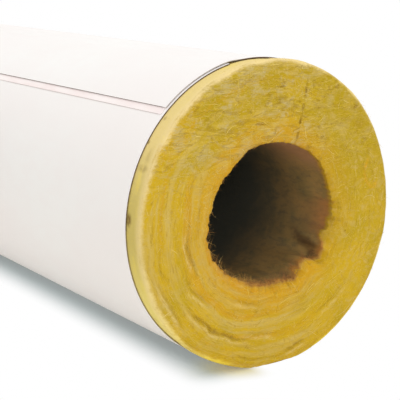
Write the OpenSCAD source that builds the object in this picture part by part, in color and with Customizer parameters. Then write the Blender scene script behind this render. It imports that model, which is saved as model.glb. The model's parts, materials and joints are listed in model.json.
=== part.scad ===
// Section of glass wool pipe insulation in a white paper jacket with a lapped flap.
// The pipe runs along X through the origin, at the middle of the section. The section lies on its side, +Z up.
// Angles round the tube go from +Y towards +Z, so 90 is the top.

/* [Wool tube] */
// Length of the wool section
tube_len = 914.4; // [300:0.1:1220]
// Bore across, for the pipe
bore_d = 48.8; // [15:0.1:170]
// Thickness of the wool wall
wall_t = 26.4; // [13:0.1:76]
// Thickness of one turn of wool
turn_t = 3.8; // [2.5:0.1:8]
// Width of the groove between two turns, at an end
turn_groove_w = 1; // [0.4:0.1:2]
// Depth of that groove
turn_groove_d = 1.2; // [0.2:0.1:4]
// Angle of the lengthwise slit
slit_angle = 72; // [0:1:359]
// Gap that the closed slit leaves
slit_w = 0.4; // [0.2:0.1:3]

/* [Jacket] */
// Thickness of the jacket sheet
jacket_t = 0.3; // [0.2:0.05:1]
// Bare wool past the jacket, at each end
jacket_setback = 9.3; // [1:0.1:60]
// Angle at which the sheet starts
sheet_start_angle = 103; // [0:1:359]
// Width of the flap that laps over the sheet's start, round the tube
lap_w = 27; // [18:0.5:40]
// How far the flap stops short of the sheet under it, at each end
flap_end_trim = 1; // [0.2:0.1:5]

/* [Release strip] */
// Thickness of the strip with its adhesive
strip_t = 0.2; // [0.1:0.01:0.5]
// Distance from the sheet's start to the strip, under the flap
strip_inset = 14; // [4:0.5:20]
// Width of the strip that shows past the flap's edge
strip_shown_w = 2.6; // [0.5:0.1:8]
// How far the strip stops short of the flap, at each end
strip_end_trim = 0.5; // [0.1:0.1:5]

/* [Hidden] */
$fn = 180;

// Radii, from the bore outwards
bore_r = bore_d / 2;
wool_r = bore_r + wall_t;
sheet_r = wool_r + jacket_t;
flap_r = sheet_r + strip_t;

// Lengths along the pipe
jacket_len = tube_len - 2 * jacket_setback;
flap_len = jacket_len - 2 * flap_end_trim;
strip_len = flap_len - 2 * strip_end_trim;

// The flap lies this much further out than the sheet it grows from
flap_rise = flap_r - wool_r;

// The sheet climbs on to its own start in a straight run. The run lies this far inside the sheet's own circle,
// so that it leaves it at a clean corner.
climb_dip = 0.02;
climb_angle = acos((wool_r - climb_dip) / flap_r);
corner_angle = acos((wool_r - climb_dip) / wool_r);

// Angles round the tube
climb_from = sheet_start_angle - climb_angle;
wrap_to = climb_from + corner_angle / 2;
flap_to = sheet_start_angle + arc_angle(lap_w, flap_r);
strip_from = sheet_start_angle + arc_angle(strip_inset, sheet_r);
strip_to = flap_to + arc_angle(strip_shown_w, sheet_r);

// The last turn of wool takes up what the wall leaves
turn_count = max(1, round(wall_t / turn_t));
cut_room = 1;

function arc_angle(width, r) = width / r * 180 / PI;
function polar(r, angle) = [r * cos(angle), r * sin(angle)];

// Groove between two turns, as the three points that it adds to the end's outline
function turn_groove(i, end, depth) =
    let (r = bore_r + i * turn_t)
    [[r - turn_groove_w / 2, end], [r, end - depth], [r + turn_groove_w / 2, end]];

function reversed(points) = [for (i = [len(points) - 1 : -1 : 0]) points[i]];

// One end of the wall, from the bore outwards: side is 1 or -1
function wall_end(side) =
    let (end = side * tube_len / 2)
    concat(
        [[bore_r, end]],
        [for (i = [1 : 1 : turn_count - 1]) each turn_groove(i, end, side * turn_groove_d)],
        [[wool_r, end]]
    );

// Turns what is drawn round Z so that it runs along the pipe, with its angles from +Y towards +Z
module along_pipe() rotate([90, 0, 90]) children();

// Part of a round wall, outwards from r
module wrapped(r, t, from, to, length)
    rotate_extrude(angle = to - from, start = from)
        translate([r, -length / 2])
            square([t, length]);

module wool_tube() {
    color([0.80, 0.66, 0.25])
        along_pipe()
            difference() {
                rotate_extrude()
                    polygon(concat(wall_end(-1), reversed(wall_end(1))));
                rotate([0, 0, slit_angle])
                    translate([0, -slit_w / 2, -tube_len / 2 - cut_room])
                        cube([wool_r + cut_room, slit_w, tube_len + 2 * cut_room]);
            }
}

// The area between two angles, out past the flap
module wedge(from, to)
    polygon([[0, 0], polar(3 * flap_r, from), polar(3 * flap_r, to)]);

// The area inside one face of the sheet: a circle of radius r, then the straight run up to the flap's circle
module inside_face(r) {
    circle(r);
    difference() {
        circle(r + flap_rise);
        rotate(climb_from - 90)
            translate([-wool_r, r - climb_dip])
                square([2 * wool_r, wool_r]);
    }
}

// The end of the sheet, from where it leaves the wool to the edge of the lap
module flap()
    linear_extrude(flap_len, center = true)
        intersection() {
            wedge(climb_from, flap_to);
            difference() {
                inside_face(wool_r + jacket_t);
                inside_face(wool_r);
            }
        }

module jacket() {
    color([0.95, 0.94, 0.92])
        along_pipe() {
            wrapped(wool_r, jacket_t, sheet_start_angle, wrap_to + 360, jacket_len);
            flap();
        }
}

module release_strip() {
    color([0.93, 0.80, 0.80])
        along_pipe()
            wrapped(sheet_r, strip_t, strip_from, strip_to, strip_len);
}

wool_tube();
jacket();
release_strip();
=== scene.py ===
import json
import math

import bpy
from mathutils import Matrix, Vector


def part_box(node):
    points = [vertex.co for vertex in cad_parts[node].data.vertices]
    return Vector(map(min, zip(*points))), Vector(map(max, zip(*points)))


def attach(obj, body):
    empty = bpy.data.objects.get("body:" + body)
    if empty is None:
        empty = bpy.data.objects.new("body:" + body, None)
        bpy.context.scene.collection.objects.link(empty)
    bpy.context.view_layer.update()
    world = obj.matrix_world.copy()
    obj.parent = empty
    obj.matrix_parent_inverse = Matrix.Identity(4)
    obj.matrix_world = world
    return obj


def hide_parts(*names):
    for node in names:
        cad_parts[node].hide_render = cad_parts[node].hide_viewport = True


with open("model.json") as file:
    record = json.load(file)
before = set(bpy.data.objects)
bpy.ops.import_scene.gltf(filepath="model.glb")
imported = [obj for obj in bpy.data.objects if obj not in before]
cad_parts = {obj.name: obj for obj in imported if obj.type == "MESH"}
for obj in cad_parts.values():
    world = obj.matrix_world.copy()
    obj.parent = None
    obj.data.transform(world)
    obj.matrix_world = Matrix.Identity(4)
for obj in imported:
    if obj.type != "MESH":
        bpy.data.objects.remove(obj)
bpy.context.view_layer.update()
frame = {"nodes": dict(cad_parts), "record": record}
print("frame loaded:", sorted(frame["nodes"]))

# sizes are millimetres where no note says otherwise, and angles are degrees;
# angles round the pipe go from +Y towards +Z
mm = 0.001
rad = math.pi / 180
fullTurn = 2 * math.pi
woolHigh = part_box("wool_tube")[1]
jacketLow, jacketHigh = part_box("jacket")
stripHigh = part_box("release_strip")[1]
mounts = {mount["name"]: mount for mount in frame["record"]["mounts"]}
boreR = mounts["pipe_bore"]["dims"]["r_mm"]
woolR = woolHigh.z / mm
halfLength = woolHigh.x / mm
floorZ = jacketLow.z / mm


# node trees

class Wire:  # one socket of a node tree, or only the tree; sums on wires add Math nodes
    def __init__(self, tree, socket=None):
        self.tree = tree
        self.socket = socket

    def node(self, kind, settings=None, inputs=None, out=0):
        made = self.tree.nodes.new(kind)
        for name, value in (settings or {}).items():
            if name == "stops":
                setStops(made.color_ramp, value)
            else:
                setattr(made, name, value)
        for key, value in (inputs or {}).items():
            target = pickSocket(made.inputs, key)
            if isinstance(value, Wire):
                self.tree.links.new(value.socket, target)
            else:
                target.default_value = value
        return Wire(self.tree, pickSocket(made.outputs, out) if made.outputs else None)

    def other(self, key):
        return Wire(self.tree, pickSocket(self.socket.node.outputs, key))

    def math(self, operation, *others):
        return self.node("ShaderNodeMath", {"operation": operation}, dict(enumerate((self, *others))))

    def __add__(self, other):
        return self.math("ADD", other)

    def __radd__(self, other):
        return self.math("ADD", other)

    def __sub__(self, other):
        return self.math("SUBTRACT", other)

    def __rsub__(self, other):
        return self.math("MULTIPLY_ADD", -1.0, other)

    def __mul__(self, other):
        return self.math("MULTIPLY", other)

    def __rmul__(self, other):
        return self.math("MULTIPLY", other)

    def __truediv__(self, other):
        return self.math("DIVIDE", other)

    def __rtruediv__(self, other):
        return self.math("POWER", -1.0) * other

    def __pow__(self, other):
        return self.math("POWER", other)

    def ramp(self, low, high, toLow=0.0, toHigh=1.0):  # eased from toLow to toHigh
        inputs = {"Value": self, "From Min": low, "From Max": high, "To Min": toLow, "To Max": toHigh}
        return self.node("ShaderNodeMapRange", {"interpolation_type": "SMOOTHSTEP"}, inputs)

    def vector(self, x, y, z):
        return self.node("ShaderNodeCombineXYZ", {}, {0: x, 1: y, 2: z})

    def noise(self, vector, scale=1.0, detail=2.0, roughness=0.5, warp=0.0):
        inputs = {
            "Vector": vector, "Scale": scale, "Detail": detail, "Roughness": roughness, "Distortion": warp}
        return self.node("ShaderNodeTexNoise", {"noise_dimensions": "3D"}, inputs)

    def mixColor(self, first, second):  # this wire is the share of the second
        inputs = {"Factor_Float": self, "A_Color": first, "B_Color": second}
        return self.node("ShaderNodeMix", {"data_type": "RGBA"}, inputs, "Result_Color")


def pickSocket(sockets, key):
    if isinstance(key, int):
        return sockets[key]
    for socket in sockets:
        if socket.identifier == key:
            return socket
    return sockets[key]


def setStops(colorRamp, stops):
    while len(colorRamp.elements) < len(stops):
        colorRamp.elements.new(0.5)
    for element, (place, color) in zip(colorRamp.elements, stops):
        element.position = place
        element.color = color


def srgb(red, green, blue):  # 0 to 255, as read off a screen
    def linear(value):
        value /= 255
        return value / 12.92 if value <= 0.04045 else ((value + 0.055) / 1.055) ** 2.4
    return (linear(red), linear(green), linear(blue), 1.0)


def newTree(name, sizes):
    tree = bpy.data.node_groups.new(name, "GeometryNodeTree")
    tree.interface.new_socket("Geometry", in_out="OUTPUT", socket_type="NodeSocketGeometry")
    kinds = {int: "NodeSocketInt", float: "NodeSocketFloat"}
    for label, value in sizes.items():
        made = tree.interface.new_socket(label, in_out="INPUT", socket_type=kinds[type(value)])
        made.default_value = value
    source = Wire(tree).node("NodeGroupInput")
    return Wire(tree), {label: source.other(label) for label in sizes}


def endTree(net, geometry, material):
    real = net.node("GeometryNodeRealizeInstances", {}, {"Geometry": geometry})
    done = net.node("GeometryNodeSetMaterial", {}, {"Geometry": real, "Material": material})
    net.node("NodeGroupOutput", {}, {"Geometry": done})
    return net.tree


def grow(name, tree, sizes, sharpAngle=None):
    seedMesh = bpy.data.meshes.new(name + "_seed")
    grower = bpy.data.objects.new(name + "_seed", seedMesh)
    bpy.context.scene.collection.objects.link(grower)
    modifier = grower.modifiers.new("grow", "NODES")
    modifier.node_group = tree
    for item in tree.interface.items_tree:
        if item.in_out == "INPUT":
            modifier[item.identifier] = sizes[item.name]
    evaluated = grower.evaluated_get(bpy.context.evaluated_depsgraph_get())
    mesh = bpy.data.meshes.new_from_object(evaluated)
    mesh.name = name
    grower.modifiers.remove(modifier)
    bpy.data.objects.remove(grower)
    bpy.data.meshes.remove(seedMesh)
    if sharpAngle:
        mesh.set_sharp_from_angle(angle=sharpAngle * rad)
    piece = bpy.data.objects.new(name, mesh)
    bpy.context.scene.collection.objects.link(piece)
    triangles = sum(len(face.vertices) - 2 for face in mesh.polygons)
    print("made", name, "with", triangles, "triangles")
    return piece


def setPosition(net, geometry, position):
    return net.node("GeometryNodeSetPosition", {}, {"Geometry": geometry, "Position": position})


def keep(net, geometry, name, value, domain="POINT"):  # a value that is read again later
    settings = {"data_type": "FLOAT", "domain": domain}
    inputs = {"Geometry": geometry, "Name": name, "Value": value}
    return net.node("GeometryNodeStoreNamedAttribute", settings, inputs)


def kept(net, name):
    return net.node("GeometryNodeInputNamedAttribute", {"data_type": "FLOAT"}, {"Name": name})


def smooth(net, geometry):
    return net.node("GeometryNodeSetShadeSmooth", {}, {"Geometry": geometry})


def roundPipe(net, x, r, angle):  # millimetres and radians to a place in the frame
    y = r * angle.math("COSINE")
    z = r * angle.math("SINE")
    return net.vector(x * mm, y * mm, z * mm)


def newMaterial(name):
    material = bpy.data.materials.new(name)
    material.use_nodes = True
    material.node_tree.nodes.clear()
    return material, Wire(material.node_tree)


def endMaterial(net, shader):
    net.node("ShaderNodeOutputMaterial", {}, {"Surface": shader})


def attribute(net, name):
    return net.node("ShaderNodeAttribute", {"attribute_name": name}, {}, "Fac")


def pipePlace(net):  # along the pipe and across it
    place = net.node("ShaderNodeTexCoord", {}, {}, "Object")
    split = net.node("ShaderNodeSeparateXYZ", {}, {0: place})
    return [split.other(axis) / mm for axis in "XYZ"]


def distance(first, second):
    return (first * first + second * second).math("SQRT")


def polar(y, z, zeroAngle):  # distance from the middle, and turns round it from zeroAngle
    turns = (z.math("ARCTAN2", y) / fullTurn - zeroAngle / 360).math("FRACT")
    return distance(y, z), turns


def between(share, low, high):
    return share * (high - low) + low


# the camera, where the photograph was taken from

camera = {
    "fromEnd": (273.7, -222.3, 85.0),  # from the middle of the near end
    "turn": 54.85,                     # away from looking straight along +Y
    "dip": 12.72,                      # below level
    "lens": 99.8,
    "sensor": 36.0,
}


def makeCamera():
    data = bpy.data.cameras.new("camera")
    data.lens = camera["lens"]
    data.sensor_width = camera["sensor"]
    eye = bpy.data.objects.new("camera", data)
    bpy.context.scene.collection.objects.link(eye)
    eye.location = (Vector((halfLength, 0, 0)) + Vector(camera["fromEnd"])) * mm
    turn, dip = camera["turn"] * rad, camera["dip"] * rad
    look = Vector((-math.cos(dip) * math.sin(turn), math.cos(dip) * math.cos(turn), -math.sin(dip)))
    eye.rotation_euler = look.to_track_quat("-Z", "Y").to_euler()
    bpy.context.scene.camera = eye


makeCamera()
print("camera placed")


# the wool tube

woolTube = {
    "length": 2 * halfLength,
    "boreR": boreR,
    "outerR": woolR,
    "slitAngle": 72.0,
    "slitGap": 0.4,
    "slitSkew": 4.2,        # how far the slit leans from the bore to the skin
    "turnT": 3.6,           # one turn of wool
    "turnWander": 1.3,      # how far a turn strays, in turns
    "sawnFrom": 4.0,        # from this height the saw has drawn the wool level,
    "sawnTo": 24.0,         # and fully so from this one
    "reliefDepth": 9.0,     # how far in from the end the relief dies out
    "grooveDepth": 0.32,
    "turnStep": 0.13,       # how unevenly the turns stand out
    "streakDepth": 0.11,
    "lumpDepth": 0.36,
    "pitDepth": 0.6,
    "rimW": 2.4,            # how far in from the edge the outer rim starts to fall
    "rimFall": 1.1,
    "mouthW": 2.6,
    "mouthFall": 1.3,
    "tearAngle": -52.0,     # where the mouth is torn
    "tearW": 3.4,
    "tearDepth": 3.6,
    "mouthDepth": 24.0,     # how far in the mouth's outline dies out
    "boreWave": 1.6,
    "swell": 0.55,
    "swellFrom": 8.5,       # the skin starts to swell this far from the end,
    "swellFull": 2.0,       # and is fully swollen here
    "skinWave": 0.8,
    "bulge": 1.6,           # more swell on the side towards bulgeAngle
    "bulgeAngle": -48.0,
    "turnInW": 1.6,
    "turnIn": 0.3,
    "tuck": 0.2,            # how far the skin is pressed in under the jacket
    "farTurn": 150.0,       # the far end is the near one's like, turned round by this much,
    "farParting": 0.6,      # with partings of this share of the depth
    "seed": 3,
}

woolGrid = {
    "aroundCount": 420,
    "alongCount": 40,
    "acrossCount": 64,
    "endCrowd": 3.2,        # the points crowd towards the ends
}

# the mouth's outline: angle, and how far it lies outside the bore
mouthOutline = [
    (97, 0.3), (117, 0.3), (137, -0.4), (160, 0.8), (178, 1.3), (189, 2.2), (202, 1.7), (222, 0.2),
    (238, -0.8), (254, -1.6), (281, -1.3), (293, 0.6), (301, -1.2), (309, -2.7), (321, 3.4), (330, 1.2),
    (339, 1.4), (342, 2.8), (356, 2.4), (374, 1.0), (390, 0.9), (411, 0.6), (424, 0.0), (441, 0.0)]

# where the turns have come apart: distance from the middle, angle, half its sweep, and depth
partings = [
    (41.9, -124.0, 26.0, 0.95), (33.3, -168.0, 14.0, 0.8), (46.6, -78.0, 7.0, 0.8),
    (37.0, -146.0, 15.0, 0.5), (47.2, -150.0, 16.0, 0.5), (39.5, -98.0, 14.0, 0.4),
    (30.5, -112.0, 16.0, 0.4), (41.0, -52.0, 14.0, 0.4)]

# a loose end of wool curled on the face: place, half size and height
curl = {"y": 43.0, "z": 10.2, "halfY": 3.6, "halfZ": 5.0, "height": 0.25}

woolFinish = {
    "cut": srgb(203, 168, 30),
    "cutOlive": srgb(178, 152, 26),
    "cutPale": srgb(202, 176, 100),
    "cutLight": srgb(216, 184, 66),
    "cutGrey": srgb(195, 176, 120),
    "cutOrange": srgb(205, 150, 34),
    "cutWisp": srgb(222, 198, 130),
    "curl": srgb(218, 158, 34),
    # cutDark also gives the painted shade in crevices, along the slit and in the drawn lines
    "cutDark": srgb(140, 108, 36),
    "skin": srgb(205, 185, 104),
    "skinLowPaintedLight": srgb(240, 222, 130),
    "skinDeep": srgb(240, 215, 76),
    "skinPale": srgb(231, 207, 138),
    "skinCornerHighlight": srgb(232, 208, 154),
    "stain": srgb(120, 92, 44),
    "mouth": srgb(178, 124, 58),
    "bore": srgb(167, 134, 79),
    "boreOlive": srgb(144, 121, 73),
    "boreRed": srgb(184, 112, 62),
    "borePink": srgb(178, 132, 90),
    # dark specks in the bore, and the painted shade deeper in
    "boreSpeckAndDepthShade": srgb(78, 78, 68),
    "boreLipShadow": srgb(92, 66, 40),
}

# a painted shadow inside the near mouth, where the torn lip shades the bore wall: its angle at the end,
# the depth of its middle, its half size, and its lean in degrees a millimetre
lipShadow = {"angle": -40.0, "depth": 9.0, "halfAngle": 9.0, "halfLong": 13.0, "lean": 0.8}

# stains on the bare skin: angle, distance from the end, half size round the pipe and along it, and strength
skinStains = [
    (175.0, 8.0, 3.0, 2.6, 0.9), (156.4, 5.2, 1.8, 4.6, 0.4), (152.0, 4.5, 4.0, 3.0, 0.2),
    (147.0, 8.7, 1.0, 1.0, 0.8), (137.0, 7.6, 1.2, 1.2, 0.4), (215.0, 7.0, 1.4, 1.4, 0.3)]


def turnsPast(turns, angle):  # signed, from an angle that isn't beside the slit
    return turns - ((angle - woolTube["slitAngle"]) % 360) / 360


# the cut face: the turns of the winding and their fibres, drawn level by the saw towards the top
def cutTone(net, x, y, z, r, turns, cross):
    streak = attribute(net, "streak")
    turn = attribute(net, "turn")
    sawn = attribute(net, "sawn")
    wound = net.noise(net.vector(turn * 8.0, turns * 14.0, x * 0.05), detail=4.0, roughness=0.6, warp=0.2)
    level = net.noise(net.vector(y * 0.2, z * 2.4, x * 0.05), detail=4.0, roughness=0.6, warp=0.5)
    fibre = wound + (level - wound) * sawn
    patch = net.noise(net.vector(y * 0.06, z * 0.06, x * 0.02), detail=2.0, roughness=0.5)
    band = net.noise(net.vector(turn * 1.1, turns * 4.0, 4.0), detail=2.0)
    cotton = net.noise(net.vector(y * 0.2, z * 0.24, 6.0), detail=4.0, roughness=0.6, warp=1.0)
    tangled = y.ramp(8.0, 34.0, 0.0, 0.8).math("MAXIMUM", sawn * 0.25)  # where turns can't be told apart
    streak = streak + (cotton - streak) * tangled
    band = band + (cotton - band) * tangled
    fibre = fibre + (cross - fibre) * tangled

    # broad patches and bands, olive above and orange towards the bore
    upper = (y * 0.45 + z * 0.9).ramp(-15.0, 48.0, 0.0, 0.32)
    tone = (patch - upper).ramp(0.2, 0.6).mixColor(woolFinish["cutOlive"], woolFinish["cut"])
    offBore = r - boreR
    inner = offBore.ramp(0.0, 14.0, 1.0, 0.12) * patch.ramp(0.25, 0.55, 0.65, 1.0)
    inner = inner * (y - z * 0.6).ramp(-36.0, 0.0, 0.95, 1.0)
    orange = inner + band.ramp(0.5, 0.66) * y.ramp(-12.0, 14.0, 0.5, 0.2)
    tone = (orange * y.ramp(-5.0, 25.0, 0.8, 0.6)).mixColor(tone, woolFinish["cutOrange"])
    paleBand = band.ramp(0.5, 0.36) * offBore.ramp(0.0, 10.0, 0.25, 0.5)
    tone = paleBand.mixColor(tone, woolFinish["cutPale"])

    # streaks and fibres
    paleStreak = streak.ramp(0.53, 0.68) * offBore.ramp(0.0, 12.0, 0.35, 0.68)
    tone = paleStreak.mixColor(tone, woolFinish["cutPale"])
    tone = (streak.ramp(0.46, 0.3) * 0.06).mixColor(tone, woolFinish["cutDark"])
    tone = (fibre.ramp(0.52, 0.72) * z.ramp(-30.0, -8.0, 0.6, 0.4)).mixColor(tone, woolFinish["cutLight"])
    tone = (fibre.ramp(0.46, 0.26) * z.ramp(-30.0, -8.0, 0.2, 0.09)).mixColor(tone, woolFinish["cutDark"])
    tone = (cross.ramp(0.54, 0.72) * 0.3).mixColor(tone, woolFinish["cutLight"])
    loose = net.noise(net.vector(y * 0.3, z * 0.34, 5.0), detail=2.0, warp=1.6) - 0.5
    curls = loose.math("ABSOLUTE").ramp(0.0, 0.045, 1.0, 0.0) * cross.ramp(0.4, 0.58)
    curls = curls * z.ramp(-20.0, 20.0, 0.4, 0.8) * y.ramp(5.0, 35.0, 1.0, 0.4)
    tone = curls.mixColor(tone, woolFinish["cutPale"])

    # the sawn upper part is greyer, with drawn lines, each a painted shade with a painted highlight beside
    # it
    mottle = net.noise(net.vector(y * 0.13, z * 0.17, 8.0), detail=4.0, roughness=0.62, warp=0.9)
    mottle = mottle.ramp(0.48, 0.64) * fibre.ramp(0.36, 0.6, 0.2, 1.0)
    mottle = mottle * z.ramp(8.0, 34.0, 0.25, 0.92) * y.ramp(8.0, 32.0, 1.0, 0.3)
    tone = mottle.mixColor(tone, woolFinish["cutGrey"])
    drawn = net.noise(net.vector(y * 0.06, (z + cotton * 3.0) * 0.3, 14.0), detail=1.5, warp=0.3)
    drawnShare = sawn * cross.ramp(0.3, 0.56) * y.ramp(5.0, 35.0, 1.0, 0.6)
    drawnShade = (drawn - 0.5).math("ABSOLUTE").ramp(0.0, 0.035, 1.0, 0.0)
    drawnHighlight = (drawn - 0.55).math("ABSOLUTE").ramp(0.0, 0.035, 1.0, 0.0)
    tone = (drawnHighlight * drawnShare * 0.4).mixColor(tone, woolFinish["cutLight"])
    tone = (drawnShade * drawnShare * 0.4).mixColor(tone, woolFinish["cutDark"])

    # the curl; painted shade in the partings, grooves and pits, with the partings' wisps; painted shade
    # along the slit; and darker streaks towards the top right
    warm = attribute(net, "warm")
    tone = (warm * cross.ramp(0.34, 0.62) * 0.6).mixColor(tone, woolFinish["curl"])
    # painted shade in the grooves, pits and partings, where the turns have come apart
    crevice = attribute(net, "crevice")
    tone = (crevice * cross.ramp(0.3, 0.6, 0.45, 1.0) * 0.8).mixColor(tone, woolFinish["cutDark"])
    wisp = attribute(net, "wisp")
    tone = (wisp * cross.ramp(0.3, 0.55) * 0.7).mixColor(tone, woolFinish["cutWisp"])
    fromSlit = attribute(net, "fromSlit")
    # painted shade in the slit, broken into dashes and fainter towards the skin
    slitShade = net.noise(net.vector(r * 0.34, x * 0.02, 7.0), detail=2.0).ramp(0.44, 0.56)
    slitShade = slitShade * r.ramp(42.0, 47.0, 1.0, 0.2)
    tone = (fromSlit.ramp(0.1, 0.9, 1.0, 0.0) * slitShade * 0.65).mixColor(tone, woolFinish["cutDark"])
    # darker streaks towards the top right
    topRightDarkening = net.noise(net.vector(y * 0.3, z * 0.55, 12.0), detail=3.0, warp=0.8).ramp(0.58, 0.72)
    topRightDarkening = topRightDarkening * z.ramp(14.0, 26.0) * (y + z * 0.2).ramp(0.0, 14.0)
    tone = (topRightDarkening * 0.6).mixColor(tone, woolFinish["cutDark"])
    return tone, fibre


def skinTone(net, x, y, z, turns, fromEnd, cross):
    arc = turns * (fullTurn * 38.0)  # measured about the middle of the wall
    cloud = net.noise(net.vector(x * 0.16, arc * 0.11, 3.0), detail=4.0, roughness=0.6)
    # painted light: the skin is lighter towards the bottom, where it faces the floor and gets less light
    tone = z.ramp(-48.0, -36.0).mixColor(woolFinish["skinDeep"], woolFinish["skinLowPaintedLight"])
    tone = z.ramp(-32.0, 0.0).mixColor(tone, woolFinish["skin"])
    tone = (z + cloud * 12.0).ramp(11.0, 38.0).mixColor(tone, woolFinish["skinPale"])
    tone = (cloud.ramp(0.5, 0.68) * 0.3).mixColor(tone, woolFinish["skinDeep"])
    # painted highlight along the rounded corner where the skin turns onto the cut face, faint at the bottom
    # and towards +Y
    cornerHighlight = (fromEnd + cloud * 2.0).ramp(0.8, 4.6, 1.0, 0.0)
    cornerHighlight = cornerHighlight * z.ramp(-44.0, -22.0) * y.ramp(5.0, 30.0, 1.0, 0.3)
    tone = (cornerHighlight * 0.6).mixColor(tone, woolFinish["skinCornerHighlight"])
    tone = (cross.ramp(0.5, 0.7) * 0.18).mixColor(tone, woolFinish["skinDeep"])
    blot = net.noise(net.vector(x * 0.5, arc * 0.5, 9.0), detail=3.0).ramp(0.3, 0.56, 0.3, 1.0)
    for angle, depth, halfRound, halfLong, strength in skinStains:
        away = turnsPast(turns, angle) * (fullTurn * woolR / halfRound)
        spot = distance(away, (fromEnd - depth) / halfLong).ramp(0.2, 1.0, 1.0, 0.0)
        tone = (spot * blot * strength).mixColor(tone, woolFinish["stain"])
    return tone, cloud


def boreTone(net, x, y, z, turns, fromEnd):
    boreMottle = net.noise(net.vector(x * 0.1, y * 0.1, z * 0.1), detail=4.0, roughness=0.62, warp=0.4)
    tone = boreMottle.ramp(0.4, 0.62).mixColor(woolFinish["bore"], woolFinish["boreOlive"])
    speck = net.noise(net.vector(x * 0.22, y * 0.5, z * 0.5), detail=4.0, roughness=0.65, warp=0.4)
    tone = (speck.ramp(0.46, 0.68) * 0.35).mixColor(tone, woolFinish["boreSpeckAndDepthShade"])
    # painted shadow of the torn lip on the bore wall, at the near end only
    lipShadowAngle = turnsPast(turns, lipShadow["angle"]) * 360.0
    lipShadowAway = (lipShadowAngle - fromEnd * lipShadow["lean"] + (boreMottle - 0.5) * 30.0) / lipShadow["halfAngle"]
    lipShadowDeep = (fromEnd - lipShadow["depth"]) / lipShadow["halfLong"]
    lipShadowShare = distance(lipShadowAway, lipShadowDeep).ramp(0.1, 1.0, 1.0, 0.0)
    tone = (lipShadowShare * x.ramp(0.0, 1.0) * 0.8).mixColor(tone, woolFinish["boreLipShadow"])
    mouthSide = (y + boreMottle * 14.0).ramp(20.0, 30.0) * (fromEnd + boreMottle * 10.0).ramp(6.0, 26.0, 1.0, 0.0)
    low = (z + boreMottle * 8.0).ramp(-8.0, -3.0) * (z + boreMottle * 8.0).ramp(3.0, 8.0, 1.0, 0.0)
    tone = (mouthSide * low * 0.5).mixColor(tone, woolFinish["boreRed"])
    roof = (z + boreMottle * 10.0).ramp(14.0, 24.0) * (y + boreMottle * 10.0).ramp(2.0, 12.0)
    tone = (roof * fromEnd.ramp(10.0, 40.0, 1.0, 0.0)).mixColor(tone, woolFinish["borePink"])
    # painted shade: the bore darkens deeper in, away from the open end
    tone = (fromEnd + boreMottle * 16.0).ramp(11.0, 58.0).mixColor(tone, woolFinish["boreSpeckAndDepthShade"])
    tone = (fromEnd + boreMottle * 6.0).ramp(1.5, 7.0, 1.0, 0.0).mixColor(tone, woolFinish["mouth"])
    return tone, boreMottle


def makeWoolMaterial():
    material, net = newMaterial("glass wool")
    x, y, z = pipePlace(net)
    r, turns = polar(y, z, woolTube["slitAngle"])
    across = attribute(net, "across")
    fromEnd = attribute(net, "fromEnd")
    cross = net.noise(net.vector(y * 1.1, z * 2.0, x * 1.2), detail=4.0, roughness=0.62, warp=0.8)
    cut, fibre = cutTone(net, x, y, z, r, turns, cross)
    skin, cloud = skinTone(net, x, y, z, turns, fromEnd, cross)
    bore, boreMottle = boreTone(net, x, y, z, turns, fromEnd)

    # skin and bore meet the cut face along uneven lines; low in the mouth the brown comes further out
    skinShare = across + (cross - 0.5) * 0.05 + (cloud - 0.5) * 0.14 + fromEnd.ramp(0.4, 3.4, 0.0, 0.08)
    tone = skinShare.ramp(0.95, 1.01).mixColor(cut, skin)
    brown = (z + (boreMottle - 0.5) * 20.0).ramp(-16.0, -6.0, 1.0, 0.0) * y.ramp(-16.0, -4.0)
    boreShare = (across + (cross - 0.5) * 0.06).ramp(0.06, 0.004)
    boreShare = boreShare * (fromEnd + cross * 2.0 + brown * 4.0).ramp(1.2, 3.6)
    tone = boreShare.mixColor(tone, bore)
    bump = net.node("ShaderNodeBump", {}, {"Strength": 0.25, "Distance": 0.0005, "Height": fibre + cross})
    shader = net.node("ShaderNodeBsdfPrincipled", {}, {
        "Base Color": tone, "Roughness": 0.94, "Specular IOR Level": 0.12, "Normal": bump})
    endMaterial(net, shader)
    return material


def awayFrom(turns, zeroAngle, place, shift):  # degrees round the pipe
    away = (turns + (zeroAngle - place + shift) / 360.0 + 0.5).math("FRACT") - 0.5
    return away.math("ABSOLUTE") * 360.0


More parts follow.
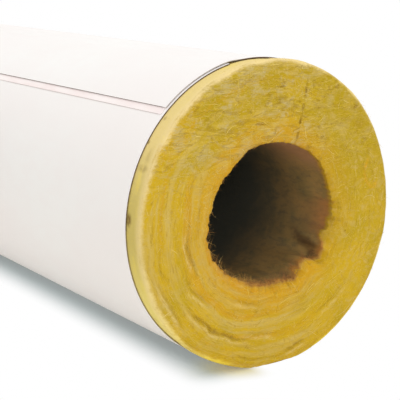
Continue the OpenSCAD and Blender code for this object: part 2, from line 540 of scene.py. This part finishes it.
# the relief of a cut end: turns of the winding, parted here and there; towards the top the saw has drawn
# the wool level
def endRelief(net, size, r, turns, y, z, side, far):
    flat = net.vector(y, z, side * 60.0 + size["seed"] * 11.0)
    wander = net.noise(flat, 0.045, detail=2.0) - 0.5
    sway = net.noise(flat, 0.13, detail=2.0) - 0.5
    sawn = (z + sway * 16.0).ramp(size["sawnFrom"], size["sawnTo"])
    layered = (1.0 - sawn * 0.8) * y.ramp(-2.0, 26.0, 1.0, 0.25)
    turn = (r - size["boreR"]) / size["turnT"] + turns + wander * size["turnWander"] + sway * 0.35
    seam = (turn.math("FRACT") - 0.5).math("ABSOLUTE") * 2.0
    parted = net.noise(flat, 0.07, detail=3.0, roughness=0.6).ramp(0.48, 0.66)
    groove = seam.ramp(0.66, 1.0) * parted * layered
    layer = net.node("ShaderNodeTexWhiteNoise", {"noise_dimensions": "1D"}, {
        "W": turn.math("FLOOR") + side * 31.0})

    wound = net.noise(net.vector(turn * 1.7, turns * 4.5, side * 9.0 + size["seed"]),
                      detail=3.0, roughness=0.5, warp=0.12)
    level = net.noise(net.vector(y * 0.1, (z + y * 0.05 + sway * 6.0) * 0.5, side * 9.0 + size["seed"]),
                      detail=4.0, roughness=0.55, warp=0.6)
    streak = wound + (level - wound) * sawn
    lump = net.noise(flat, 0.14, detail=3.0) - 0.5
    pit = net.noise(net.vector(y * 0.26, z * 0.6, side * 5.0), detail=3.0, warp=0.9)
    pit = (pit + z.ramp(0.0, 26.0, 0.0, 0.05)).ramp(0.71, 0.83)
    height = (streak - 0.5) * size["streakDepth"] * 2.0 + lump * size["lumpDepth"] * 2.0
    height = height + (layer - 0.5) * size["turnStep"] * layered * 2.0
    height = height - groove * size["grooveDepth"] - pit * size["pitDepth"]

    # where painted shade goes: grooves, pits and partings
    openingShade = groove * 0.25 + pit * 0.5
    wisp = 0.0
    shallow = side.ramp(-1.0, 1.0, size["farParting"], 1.0)
    ragged = net.noise(net.vector(y * 0.4, z * 0.4, side * 4.0), detail=3.0, roughness=0.6)
    broken = ragged.ramp(0.36, 0.56, 0.55, 1.0)
    for place, middle, halfWidth, depth in partings:
        aside = awayFrom(turns, size["slitAngle"], middle, far)
        aside = aside.ramp(halfWidth * 0.3, halfWidth, 1.0, 0.0) * broken
        off = r - place + sway * 3.0 + (streak - 0.5) * 1.2 + (ragged - 0.5) * 1.7
        line = off.math("ABSOLUTE").ramp(0.0, 1.1, 1.0, 0.0) * aside * (depth * shallow)
        height = height - line * 0.6
        openingShade = openingShade + line
        edge = (off - 1.3).math("ABSOLUTE").ramp(0.1, 0.8, 1.0, 0.0)
        wisp = wisp + edge * aside * min(depth * 1.8, 1.0)
    curlY = (y - curl["y"]) / curl["halfY"]
    curlZ = (z - curl["z"] + sway * 3.0) / curl["halfZ"]
    ring = (distance(curlY, curlZ) - 1.0).math("ABSOLUTE").ramp(0.03, 0.24, 1.0, 0.0)
    warm = ring * (curlY + curlZ * 0.6).ramp(-0.3, 0.6, 1.0, 0.0) * side.math("MAXIMUM", 0.0)
    height = height + warm * curl["height"]
    return height, {"crevice": openingShade.math("MINIMUM", 1.0), "streak": streak, "turn": turn, "sawn": sawn,
                    "warm": warm, "wisp": wisp.math("MINIMUM", 1.0)}


# the rims fall away, more so where the mouth is torn
def fallenRims(net, size, height, r, turns, angle, side, jag):
    rim = (1.0 - (size["outerR"] - r) / size["rimW"]).math("MAXIMUM", 0.0) ** 2.0
    torn = (angle - size["tearAngle"] * rad).math("COSINE").ramp(0.35, 0.9)
    mouthW = size["mouthW"] + torn * size["tearW"]
    mouthRim = (1.0 - (r - size["boreR"]) / mouthW).math("MAXIMUM", 0.0) ** 2.0
    mouthNoise = net.noise(net.vector(turns * 16.0, side * 8.0, 1.0), detail=3.0)
    mouthFall = size["mouthFall"] * mouthNoise.ramp(0.3, 0.7, 0.3, 1.2)
    mouthFall = mouthFall + torn * jag.ramp(0.35, 0.65) * size["tearDepth"]
    return height - rim * size["rimFall"] - mouthRim * mouthFall


# the skin swells past the jacket and turns in at the end
def skinShift(net, size, turns, angle, side, fromEnd):
    bare = fromEnd.ramp(size["swellFull"], size["swellFrom"], 1.0, 0.0)
    wave = net.noise(net.vector(turns * 16.0, side * 3.0, fromEnd * 0.08), detail=3.0) - 0.5
    turnIn = (1.0 - fromEnd / size["turnInW"]).math("MAXIMUM", 0.0) ** 2.0
    bulge = (angle - size["bulgeAngle"] * rad).math("COSINE").ramp(0.4, 1.0) * size["bulge"]
    swollen = bare * (wave * size["skinWave"] + size["swell"] + bulge)
    return swollen - turnIn * size["turnIn"] - (1.0 - bare) * size["tuck"]


# the bore waves a little, and its mouth is out of round
def boreShift(net, size, turns, z, side, fromEnd, far, jag):
    wave = net.noise(net.vector(turns * 9.0, side * 4.0, fromEnd * 0.05), detail=3.0) - 0.5
    first, out = mouthOutline[0]
    degrees = (turns + (size["slitAngle"] - first + far) / 360.0).math("FRACT") * 360.0
    frayed = net.noise(net.vector(turns * 110.0, side * 6.0, 3.0), detail=2.0) - 0.5
    mouth = out + (jag - 0.5) * 1.2 + frayed * z.ramp(4.0, 22.0, 2.0, 0.8)
    for (place, out), (nextPlace, nextOut) in zip(mouthOutline, mouthOutline[1:] + [(first + 360, out)]):
        mouth = mouth + degrees.ramp(place - first, nextPlace - first, 0.0, nextOut - out)
    mouth = fromEnd.ramp(0.0, size["mouthDepth"], 1.0, 0.0) * (mouth + wave * 0.8)
    return wave * size["boreWave"] + mouth


# a place in the wool, from its share of the wall, its turn round the pipe and its distance from an end,
# moved as the wound, sawn and torn wool lies; side is 1 at the near end and -1 at the far one
def woolPlace(net, size, across, turns, side, fromEnd):
    r = size["boreR"] + across * (size["outerR"] - size["boreR"])
    angle = turns * fullTurn + size["slitAngle"] * rad
    y = r * angle.math("COSINE")
    z = r * angle.math("SINE")
    far = side.ramp(-1.0, 1.0, size["farTurn"], 0.0)
    jag = net.noise(net.vector(turns * 40.0, side * 5.0, 2.0), detail=3.0)
    height, marks = endRelief(net, size, r, turns, y, z, side, far)
    height = fallenRims(net, size, height, r, turns, angle, side, jag)
    nearEnd = fromEnd.ramp(0.0, size["reliefDepth"], 1.0, 0.0)
    x = side * (size["length"] * 0.5 - fromEnd + height * nearEnd)

    outerShift = skinShift(net, size, turns, angle, side, fromEnd)
    innerShift = boreShift(net, size, turns, z, side, fromEnd, far, jag)
    r = r + outerShift * across * across + innerShift * (1.0 - across) ** 2.0
    floorR = -floorZ / (angle.math("SINE") * -1.0).math("MAXIMUM", 0.1)
    r = r.math("MINIMUM", floorR - 0.05)

    # the slit gapes here and there, and leans
    gap = net.noise(net.vector(r * 0.3, side * 7.0, fromEnd * 0.05), detail=2.0).ramp(0.54, 0.68, 0.01, 1.0)
    angle = angle + (0.5 - turns) * size["slitGap"] * gap / r
    fromMiddle = (turns - 0.5).math("ABSOLUTE")
    nearSlit = (fromMiddle * 2.0).ramp(0.8, 1.0)
    angle = angle + nearSlit * (across - 0.5) * (size["slitSkew"] * rad)
    marks["crevice"] = marks["crevice"] * nearEnd
    marks["fromSlit"] = (0.5 - fromMiddle) * r * fullTurn
    return {"x": x, "r": r, "angle": angle, "marks": marks}


def woolTree(sizes, material):  # a box of points bent round the pipe, from the slit to the slit again
    net, size = newTree("wound wool tube", sizes)
    box = net.node("GeometryNodeMeshCube", {}, {
        "Size": (1.0, 1.0, 1.0), "Vertices X": size["aroundCount"],
        "Vertices Y": size["alongCount"], "Vertices Z": size["acrossCount"]})
    place = net.node("ShaderNodeSeparateXYZ", {}, {0: net.node("GeometryNodeInputPosition")})
    turns = place.other("X") + 0.5
    along = place.other("Y") * 2.0
    across = place.other("Z") + 0.5
    fromEnd = (1.0 - along.math("ABSOLUTE")) ** size["endCrowd"] * size["length"] * 0.5
    spot = woolPlace(net, size, across, turns, along.math("SIGN"), fromEnd)
    wool = keep(net, box, "across", across)
    wool = keep(net, wool, "fromEnd", fromEnd)
    for name, value in spot["marks"].items():
        wool = keep(net, wool, name, value)
    wool = setPosition(net, wool, roundPipe(net, spot["x"], spot["r"], spot["angle"]))
    return endTree(net, smooth(net, wool), material)


woolSizes = {**woolTube, **woolGrid}
woolPiece = grow("wool_tube_wound", woolTree(woolSizes, makeWoolMaterial()), woolSizes, sharpAngle=80)
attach(woolPiece, "root")
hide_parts("wool_tube")


# loose fibres on the cut ends, and fuzz in the mouths of the bore and on the rims

endFibres = {
    "count": 3800,
    "points": 6,
    "lengthLeast": 2.0,
    "lengthMost": 14.0,
    "thinnest": 0.025,
    "thickest": 0.09,
    "spread": 0.26,     # how far a fibre leans off its turn, in radians
    "strays": 0.45,     # the share of the fibres that lie anyhow
    "bow": 0.06,
    "wave": 0.6,
    "lift": 0.12,       # how far its middle stands off the wool
    "sink": 0.05,       # how far its tips are pressed in
    "fromEnd": 0.0,
    "fibreSeed": 40,
    "side": 1,
}

mouthFuzz = {
    "count": 3000,
    "points": 6,
    "lengthLeast": 1.0,
    "lengthMost": 7.0,
    "thinnest": 0.02,
    "thickest": 0.065,
    "root": 0.02,       # its place in the wall, from the bore to the skin
    "outward": -1.0,
    "stand": 0.8,       # how far it stands off the wool
    "reach": 3.0,       # how far from the end it grows
    "gatherAngle": -104.0,
    "gather": 0.65,     # how far it crowds towards gatherAngle
    "least": 0.4,       # the share of its length that it has on the other side
    "droop": 0.25,
    "paleAngle": -170.0,
    "fibreSeed": 70,
    "side": 1,
}

rimFuzz = {
    "count": 900,
    "points": 6,
    "lengthLeast": 0.8,
    "lengthMost": 4.5,
    "thinnest": 0.02,
    "thickest": 0.06,
    "root": 0.99,
    "outward": 1.0,
    "stand": 0.3,
    "reach": 8.0,
    "gatherAngle": 60.0,
    "gather": 0.0,
    "least": 1.0,
    "droop": 0.0,
    "paleAngle": 120.0,
    "fibreSeed": 90,
    "side": 1,
}

fibreFinish = [
    (0.0, srgb(206, 171, 48)), (0.4, srgb(213, 181, 56)), (0.75, srgb(221, 192, 76)),
    (0.94, srgb(228, 203, 98)), (1.0, srgb(234, 213, 126))]
fuzzFinish = [
    (0.0, srgb(142, 92, 58)), (0.4, srgb(184, 126, 72)),
    (0.75, srgb(214, 166, 76)), (1.0, srgb(226, 196, 122))]


def makeFibreMaterial(name, stops):
    material, net = newMaterial(name)
    tone = net.node("ShaderNodeValToRGB", {"stops": stops}, {"Fac": attribute(net, "tint")}, "Color")
    shader = net.node("ShaderNodeBsdfPrincipled", {}, {
        "Base Color": tone, "Roughness": 0.7, "Specular IOR Level": 0.3})
    endMaterial(net, shader)
    return material


def fibreRows(net, size):  # the points come in rows, one row to a fibre
    index = net.node("GeometryNodeInputIndex")
    fibre = ((index + 0.5) / size["points"]).math("FLOOR")
    step = (index - fibre * size["points"]) / (size["points"] - 1.0)

    def chance(draw):
        inputs = {"ID": fibre, "Seed": size["fibreSeed"] + draw}
        return net.node("FunctionNodeRandomValue", {"data_type": "FLOAT"}, inputs, "Value_001")
    return fibre, step, chance


def fibreMesh(net, size, fibre, place, thickness, tint):
    rows = net.node("GeometryNodePoints", {}, {"Count": size["count"] * size["points"], "Position": place})
    rows = keep(net, rows, "tint", tint)
    rows = keep(net, rows, "thickness", thickness * mm)
    curves = net.node("GeometryNodePointsToCurves", {}, {"Points": rows, "Curve Group ID": fibre})
    section = net.node("GeometryNodeCurvePrimitiveCircle", {"mode": "RADIUS"}, {
        "Resolution": 3, "Radius": 1.0})
    mesh = net.node("GeometryNodeCurveToMesh", {}, {
        "Curve": curves, "Profile Curve": section, "Scale": kept(net, "thickness"), "Fill Caps": True})
    return smooth(net, net.node("GeometryNodeRemoveAttribute", {}, {"Geometry": mesh, "Name": "thickness"}))


def endFibreTree(sizes, material):
    net, size = newTree("loose end fibres", sizes)
    fibre, step, chance = fibreRows(net, size)
    # where a fibre lies on the end, and which way it runs
    inner = (boreR + 1.0) ** 2  # a little in from the mouth and the skin
    outer = (woolR - 0.8) ** 2
    r = (chance(0) * (outer - inner) + inner).math("SQRT")
    start = chance(1) * fullTurn
    length = between(chance(2) ** 2.0, size["lengthLeast"], size["lengthMost"])
    sawn = (r * start.math("SINE")).ramp(size["sawnFrom"], size["sawnTo"])
    sawn = sawn.math("GREATER_THAN", chance(3))
    stray = chance(9).math("LESS_THAN", size["strays"])
    lean = (chance(4) - 0.5) * 2.0 * (size["spread"] + stray * 1.6)
    length = length * (1.0 - stray * 0.45)
    heading = start + math.pi / 2 + lean - sawn * (start - math.pi / 2)
    along = (step - 0.5) * length
    bend = (1.0 - sawn) / r + (chance(5) - 0.5) * 2.0 * (size["bow"] + stray * 0.28)
    waver = net.noise(net.vector(fibre * 3.7, step * 2.2, size["fibreSeed"] * 1.3), detail=1.0) - 0.5
    sideways = along * along * bend * 0.5 + waver * size["wave"]
    runY = heading.math("COSINE")
    runZ = heading.math("SINE")
    y = r * start.math("COSINE") + along * runY - sideways * runZ
    z = r * start.math("SINE") + along * runZ + sideways * runY
    r, turns = polar(y, z, woolTube["slitAngle"])
    across = ((r - boreR) / (woolR - boreR)).math("MINIMUM", 0.985).math("MAXIMUM", 0.015)
    spot = woolPlace(net, size, across, turns, size["side"], size["fromEnd"])
    hump = 1.0 - (step * 2.0 - 1.0) * (step * 2.0 - 1.0)
    x = spot["x"] + size["side"] * (hump * chance(6) * size["lift"] - size["sink"])
    thickness = between(chance(7) ** 2.5, size["thinnest"], size["thickest"])
    thickness = thickness * (hump * 0.85 + 0.15)
    place = roundPipe(net, x, spot["r"], spot["angle"])
    tint = chance(8) + stray * 0.15
    return endTree(net, fibreMesh(net, size, fibre, place, thickness, tint), material)


def fuzzTree(sizes, material):
    net, size = newTree("fuzz", sizes)
    fibre, step, chance = fibreRows(net, size)
    spread = chance(0) * 2.0 - 1.0
    gathered = spread * (spread * spread * size["gather"] + 1.0 - size["gather"])
    degrees = gathered * 180.0 + size["gatherAngle"]
    turns = ((degrees - size["slitAngle"]) / 360.0).math("FRACT")
    root = woolPlace(net, size, size["root"], turns, size["side"], chance(2) ** 2.0 * size["reach"])
    length = between(chance(3) ** 2.0, size["lengthLeast"], size["lengthMost"])
    thick = ((degrees - size["gatherAngle"]) * rad).math("COSINE")
    length = length * thick.ramp(-0.2, 0.9, size["least"], 1.0)
    along = step * length
    waver = net.noise(net.vector(fibre * 2.9, step * 2.4, size["fibreSeed"] * 1.7), detail=1.0) - 0.5
    stand = along * (chance(4) * size["stand"] + 0.1) - 0.3  # its root is a little inside the wool
    r = root["r"] + size["outward"] * stand + waver * step * size["stand"]
    angle = root["angle"] + along * (chance(5) - 0.5) * 2.0 / root["r"] + waver * 0.06 * step
    x = root["x"] + size["side"] * along * (chance(6) * 1.3 - 0.8)
    y = r * angle.math("COSINE")
    z = (r * angle.math("SINE") - step * step * length * size["droop"]).math("MAXIMUM", floorZ + 0.1)
    thickness = between(chance(7) ** 2.5, size["thinnest"], size["thickest"]) * (1.15 - step)
    place = net.vector(x * mm, y * mm, z * mm)
    pale = ((degrees - size["paleAngle"]) * rad).math("COSINE")
    tint = chance(8) * 0.5 + pale.ramp(-0.1, 0.95, 0.0, 0.5)
    return endTree(net, fibreMesh(net, size, fibre, place, thickness, tint), material)


fibreMaterial = makeFibreMaterial("loose glass fibre", fibreFinish)
fuzzMaterial = makeFibreMaterial("mouth fuzz", fuzzFinish)
strands = {
    "end_fibres": (endFibreTree, endFibres, fibreMaterial),
    "mouth_fuzz": (fuzzTree, mouthFuzz, fuzzMaterial),
    "rim_fuzz": (fuzzTree, rimFuzz, fibreMaterial),
}
for name, (makeTree, values, material) in strands.items():
    sizes = {**woolTube, **values}
    tree = makeTree(sizes, material)
    for endName, side in (("front", 1), ("back", -1)):
        ownSizes = {**sizes, "side": side, "fibreSeed": sizes["fibreSeed"] + side * 5}
        piece = grow(name + "_" + endName, tree, ownSizes)
        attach(piece, "root")


# the jacket and the release strip: a thin box of points bent round the wool

jacket = {
    "innerR": woolR,
    "thickness": 0.3,
    "fromAngle": 103.0,
    "sweep": 360.0 + 30.2,
    "halfLength": jacketHigh.x / mm,
    "climb": 0.5,       # how far the flap lies outside the sheet it covers
    "climbAngle": 8.0,
    "trim": 1.0,        # how much shorter the flap is at each end
    "lift": 0.1,        # how far the sheet's ends stand off where it climbs
    "dent": 0.12,
    "aroundCount": 260,
    "alongCount": 60,
    "endCrowd": 2.2,    # the points crowd towards the ends
    "seed": 5,
}

releaseStrip = {
    "innerR": woolR + jacket["thickness"],
    "thickness": 0.2,
    "fromAngle": 118.7,
    "sweep": 17.4,
    "halfLength": stripHigh.x / mm,
    "climb": 0.0,
    "climbAngle": 8.0,
    "trim": 0.0,
    "lift": 0.0,
    "dent": 0.0,
    "aroundCount": 14,
    "alongCount": 60,
    "endCrowd": 2.2,
    "seed": 6,
}

jacketFinish = {
    "paper": srgb(241, 239, 236),
    "paperWarm": srgb(240, 235, 232),
    # cut-edge colours: the laminate's own edge, darkened as painted shade along the step
    "edge": srgb(168, 154, 120),
    "edgeDarkShade": srgb(108, 86, 72),
    "flapEdge": srgb(188, 180, 176),
}
stripFinish = {
    "pink": srgb(246, 237, 234),
    "pinkDeep": srgb(243, 229, 226),
    # cut-edge colours: the strip's own edge, darkened as painted shade along the step
    "edge": srgb(146, 124, 118),
    "edgePale": srgb(184, 166, 160),
}


def makeJacketMaterial():
    material, net = newMaterial("jacket paper")
    x, y, z = pipePlace(net)
    arc = polar(y, z, jacket["fromAngle"])[1] * (fullTurn * woolR)
    cloud = net.noise(net.vector(x * 0.012, arc * 0.02, 0.0), detail=3.0)
    tone = cloud.ramp(0.35, 0.65).mixColor(jacketFinish["paper"], jacketFinish["paperWarm"])
    fleck = net.noise(net.vector(x * 0.12, arc * 0.2, 2.0), detail=3.0, roughness=0.6)
    tone = (fleck.ramp(0.42, 0.62) * 0.35).mixColor(tone, jacketFinish["paperWarm"])
    grain = net.noise(net.vector(x * 1.6, arc * 1.6, 0.0), detail=3.0, roughness=0.7)
    bump = net.node("ShaderNodeBump", {}, {"Strength": 0.12, "Distance": 0.0002, "Height": grain})
    shader = net.node("ShaderNodeBsdfPrincipled", {}, {
        "Base Color": tone, "Roughness": grain.ramp(0.3, 0.7, 0.5, 0.6),
        "Specular IOR Level": 0.3, "Normal": bump})
    endMaterial(net, shader)
    return material


def makeEdgeMaterial(name, first, second, flapEdge):
    material, net = newMaterial(name)
    x, y, z = pipePlace(net)
    fleck = net.noise(net.vector(x * 0.3, y * 0.8, z * 0.8), detail=3.0)
    # the cut edges are coloured dark, partly the laminate's own colour and partly the painted shade line at
    # each step; the jacket's grows darker towards the top
    tone = (fleck + z.ramp(-40.0, 40.0, -0.25, 0.25)).ramp(0.3, 0.7).mixColor(first, second)
    sheetR = woolR + jacket["thickness"]  # what lies outside it belongs to the flap
    outer = distance(y, z).ramp(sheetR + 0.02, sheetR + 0.12)
    outer = outer * (x.math("ABSOLUTE") - jacket["halfLength"]).ramp(-3.0, -2.0)
    tone = outer.mixColor(tone, flapEdge)
    shader = net.node("ShaderNodeBsdfPrincipled", {}, {"Base Color": tone, "Roughness": 0.7})
    endMaterial(net, shader)
    return material


def makeStripMaterial():
    material, net = newMaterial("release paper")
    x, y, z = pipePlace(net)
    cloud = net.noise(net.vector(x * 0.05, y * 0.3, z * 0.3), detail=3.0)
    tone = cloud.ramp(0.35, 0.65).mixColor(stripFinish["pink"], stripFinish["pinkDeep"])
    shader = net.node("ShaderNodeBsdfPrincipled", {}, {"Base Color": tone, "Roughness": 0.45})
    endMaterial(net, shader)
    return material


def sheetTree(name, sizes, faceMaterial, edgeMaterial):
    net, size = newTree(name, sizes)
    box = net.node("GeometryNodeMeshCube", {}, {
        "Size": (1.0, 1.0, 1.0), "Vertices X": size["aroundCount"],
        "Vertices Y": size["alongCount"], "Vertices Z": 2})
    place = net.node("ShaderNodeSeparateXYZ", {}, {0: net.node("GeometryNodeInputPosition")})
    around = place.other("X") + 0.5
    along = place.other("Y") * 2.0
    outward = place.other("Z") + 0.5
    degrees = around * size["sweep"]
    climbed = ((degrees - 360.0) / size["climbAngle"] + 1.0).ramp(0.0, 1.0)
    side = along.math("SIGN")
    fromEnd = (1.0 - along.math("ABSOLUTE")) ** size["endCrowd"] * size["halfLength"]
    trim = degrees.ramp(190.0, 345.0) * size["trim"]  # from half way round to the start of the flap
    x = side * (size["halfLength"] - fromEnd - trim * fromEnd.ramp(0.0, 60.0, 1.0, 0.0))
    dent = net.noise(net.vector(around * 9.0, x * 0.012, size["seed"] * 3.0), detail=2.0) - 0.35
    dent = dent.math("MAXIMUM", 0.0) * size["dent"]
    lifted = degrees.ramp(318.0, 348.0) * degrees.ramp(360.0, 372.0, 1.0, 0.0)
    lifted = lifted * fromEnd.ramp(0.0, 14.0, 1.0, 0.0)
    r = size["innerR"] + outward * size["thickness"] + climbed * size["climb"]
    r = r + dent + lifted * size["lift"]
    angle = (degrees + size["fromAngle"]) * rad
    cut = outward.math("LESS_THAN", 0.75)
    sheet = keep(net, box, "cutEdge", cut, "FACE")
    sheet = smooth(net, setPosition(net, sheet, roundPipe(net, x, r, angle)))
    sheet = net.node("GeometryNodeSetMaterial", {}, {"Geometry": sheet, "Material": edgeMaterial})
    real = net.node("GeometryNodeRealizeInstances", {}, {"Geometry": sheet})
    face = kept(net, "cutEdge").math("LESS_THAN", 0.5)
    done = net.node("GeometryNodeSetMaterial", {}, {
        "Geometry": real, "Selection": face, "Material": faceMaterial})
    net.node("NodeGroupOutput", {}, {"Geometry": done})
    return net.tree


jacketEdge = makeEdgeMaterial(
    "laminate edge", jacketFinish["edge"], jacketFinish["edgeDarkShade"], jacketFinish["flapEdge"])
jacketTree = sheetTree("lapped jacket", jacket, makeJacketMaterial(), jacketEdge)
jacketPiece = grow("jacket_lapped", jacketTree, jacket, sharpAngle=35)
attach(jacketPiece, "root")
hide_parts("jacket")

stripEdge = makeEdgeMaterial(
    "release edge", stripFinish["edge"], stripFinish["edgePale"], stripFinish["pink"])
stripTree = sheetTree("release strip", releaseStrip, makeStripMaterial(), stripEdge)
stripPiece = grow("release_strip_laid", stripTree, releaseStrip, sharpAngle=35)
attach(stripPiece, "root")
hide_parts("release_strip")


# floor and light

stage = {
    "floorHalf": 12.0,     # in metres
    "floorColor": srgb(243, 240, 235),
    # painted shade: the darker, bluer floor the camera sees in the shadow, deeper towards the ends
    "shadowColor": srgb(187, 209, 212),
    "shadowDeep": srgb(168, 189, 189),
    "woolReflectionTint": srgb(214, 203, 84),  # painted yellow reflection of the wool on the floor, close to it
    "shadowNear": 19.0,    # the floor starts to turn white this far from the middle,
    "shadowFar": 35.0,     # and is white from here
    "shadowLift": 0.2,     # the share of white in the shadow
    "worldStrength": 0.79,
}


def seenRay(net):  # 1 where the camera sees the surface, also in a reflection
    path = net.node("ShaderNodeLightPath", {}, {}, "Is Camera Ray")
    seen = path.math("MAXIMUM", path.other("Is Glossy Ray"))
    return seen.math("MAXIMUM", path.other("Is Transmission Ray"))


def makeFloor():
    mesh = bpy.data.meshes.new("floor")
    half = stage["floorHalf"]
    corners = [(-half, -half), (half, -half), (half, half), (-half, half)]
    mesh.from_pydata([(x, y, floorZ * mm) for x, y in corners], [], [(0, 1, 2, 3)])
    floor = bpy.data.objects.new("floor", mesh)
    bpy.context.scene.collection.objects.link(floor)
    material, net = newMaterial("floor")
    lit = net.node("ShaderNodeBsdfDiffuse", {}, {"Color": stage["floorColor"]})
    white = net.node("ShaderNodeEmission", {}, {"Color": (1.0, 1.0, 1.0, 1.0), "Strength": 1.0})
    x, y = pipePlace(net)[:2]
    y = y * x.math("SIGN")  # the far end's shadow is the near one's, turned round
    along = x.math("ABSOLUTE") - halfLength
    # painted shade: the floor the camera sees is darker and bluer than the floor that bounces light, and
    # darker still towards the ends
    tone = along.ramp(-110.0, -10.0).mixColor(stage["shadowColor"], stage["shadowDeep"])
    # painted yellow reflection of the wool on the floor close to its end
    warm = along.ramp(-22.0, -8.0) * y.ramp(-25.0, -13.0)
    tone = warm.mixColor(tone, stage["woolReflectionTint"])
    matt = net.node("ShaderNodeBsdfDiffuse", {}, {"Color": tone})
    # beside the shadow, and past the end of the section, the floor is plain white to the eye
    share = y.math("ABSOLUTE").ramp(stage["shadowNear"], stage["shadowFar"], stage["shadowLift"], 1.0)
    share = share.math("MAXIMUM", along.ramp(-60.0, -8.0) * y.ramp(-12.0, -3.0))
    share = 1.0 - (1.0 - share) * (along - y.ramp(-22.0, -10.0) * 3.0).ramp(-7.5, 6.5, 1.0, 0.0)
    shown = net.node("ShaderNodeMixShader", {}, {0: share, 1: matt, 2: white})
    endMaterial(net, net.node("ShaderNodeMixShader", {}, {0: seenRay(net), 1: lit, 2: shown}))
    mesh.materials.append(material)


def makeWorld():
    world = bpy.data.worlds.new("studio")
    bpy.context.scene.world = world
    world.use_nodes = True
    world.node_tree.nodes.clear()
    net = Wire(world.node_tree)
    strength = seenRay(net) * (1.0 - stage["worldStrength"]) + stage["worldStrength"]
    light = net.node("ShaderNodeBackground", {}, {"Color": (1.0, 1.0, 1.0, 1.0), "Strength": strength})
    net.node("ShaderNodeOutputWorld", {}, {"Surface": light})


# places, aims and sizes in metres, and power in watts
lamps = {
    "top": {"place": (0.45, 0.15, 1.6), "aim": (0.35, 0.0, 0.0), "size": 1.1, "power": 7.9},
    "front": {"place": (1.7, -0.5, 0.35), "aim": (0.45, 0.0, 0.0), "size": 0.8, "power": 4.2},
    "back": {"place": (-1.8, 0.2, 0.45), "aim": (-0.45, 0.0, 0.0), "size": 0.8, "power": 2.6},
}


def makeLamp(name, lamp):
    data = bpy.data.lights.new(name, "AREA")
    data.shape = "DISK"
    data.size = lamp["size"]
    data.energy = lamp["power"]
    light = bpy.data.objects.new(name, data)
    bpy.context.scene.collection.objects.link(light)
    light.location = lamp["place"]
    look = Vector(lamp["aim"]) - Vector(lamp["place"])
    light.rotation_euler = look.to_track_quat("-Z", "Y").to_euler()


makeFloor()
makeWorld()
for lampName, lampSizes in lamps.items():
    makeLamp(lampName, lampSizes)
bpy.context.scene.view_settings.view_transform = "Standard"
print("floor and light set")
